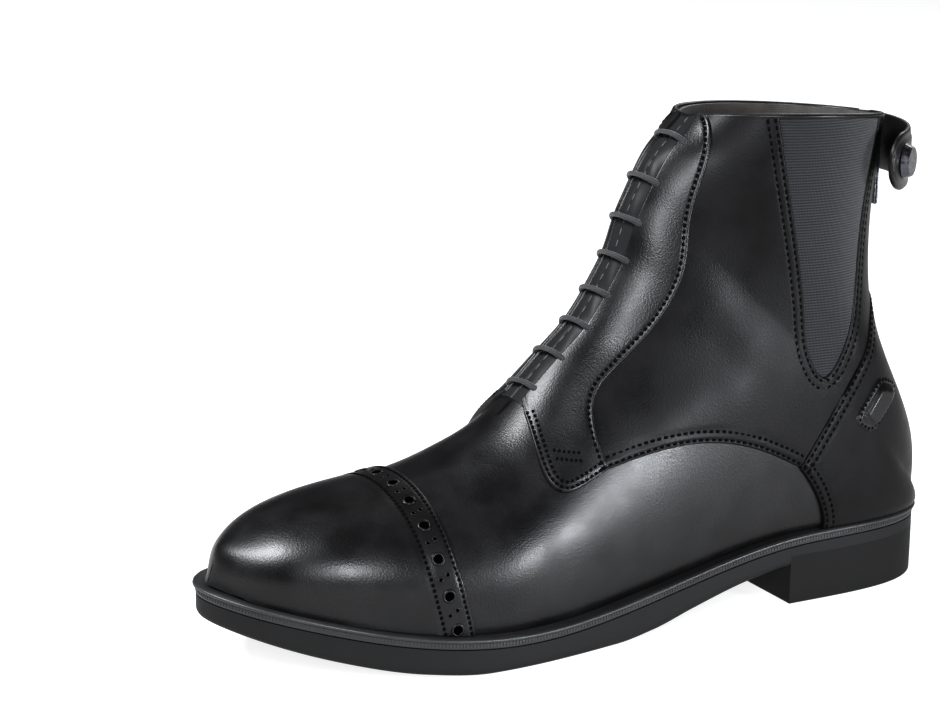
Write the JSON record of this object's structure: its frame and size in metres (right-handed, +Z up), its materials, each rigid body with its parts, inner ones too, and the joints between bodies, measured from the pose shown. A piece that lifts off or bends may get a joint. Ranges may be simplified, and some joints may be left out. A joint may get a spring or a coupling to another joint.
{
  "type": "paddock boot",
  "caption": "Left ankle-high paddock boot: lasted leather upper, elastic front laces, side elastic, rear zip with snap strap, and a welted moulded sole with a low heel.",
  "frame": {"origin": "centre of the boot's box on the floor under its sole", "axes": "+Z up, +Y towards the heel, +X towards the outer side of this left boot"},
  "size_m": [0.0978, 0.2898, 0.1858],
  "materials": {
    "leather": "smooth black leather, fine grain, half gloss",
    "sole_rubber": "matt black moulded rubber",
    "welt_edge": "polished black welt",
    "lining": "dark grey textile lining",
    "elastic": "charcoal ribbed elastic",
    "cord": "black round elastic cord",
    "dark_metal": "dark nickel"
  },
  "bodies": {
    "boot": {"collar_binding": "leather", "facing_inner": "leather", "facing_outer": "leather", "gusset_inner": "elastic", "gusset_outer": "elastic", "heel_counter": "leather", "insole": "lining", "lace_bar_1": "cord", "lace_bar_2": "cord", "lace_bar_3": "cord", "lace_bar_4": "cord", "lace_bar_5": "cord", "lace_bar_6": "cord", "lace_bar_7": "cord", "lace_bar_8": "cord", "outsole": "sole_rubber", "quarter_inner": "leather", "quarter_outer": "leather", "snap_strap": "leather", "snap_stud": "dark_metal", "spur_rest_inner": "leather", "spur_rest_outer": "leather", "spur_rest_rear": "leather", "toe_cap": "leather", "tongue": "leather", "upper": "leather", "welt": "welt_edge", "zip_chain": "dark_metal", "zip_slider": "dark_metal", "zip_tape": "elastic"},
    "pull": {"zip_pull": "dark_metal"}
  },
  "joints": [
    {"name": "zip_pull_hinge", "type": "hinge", "parent": "boot", "child": "pull", "pos_m": [0, 0.12372, 0.16314], "axis": [1, 0, 0], "range_deg": [-8, 14]}
  ]
}
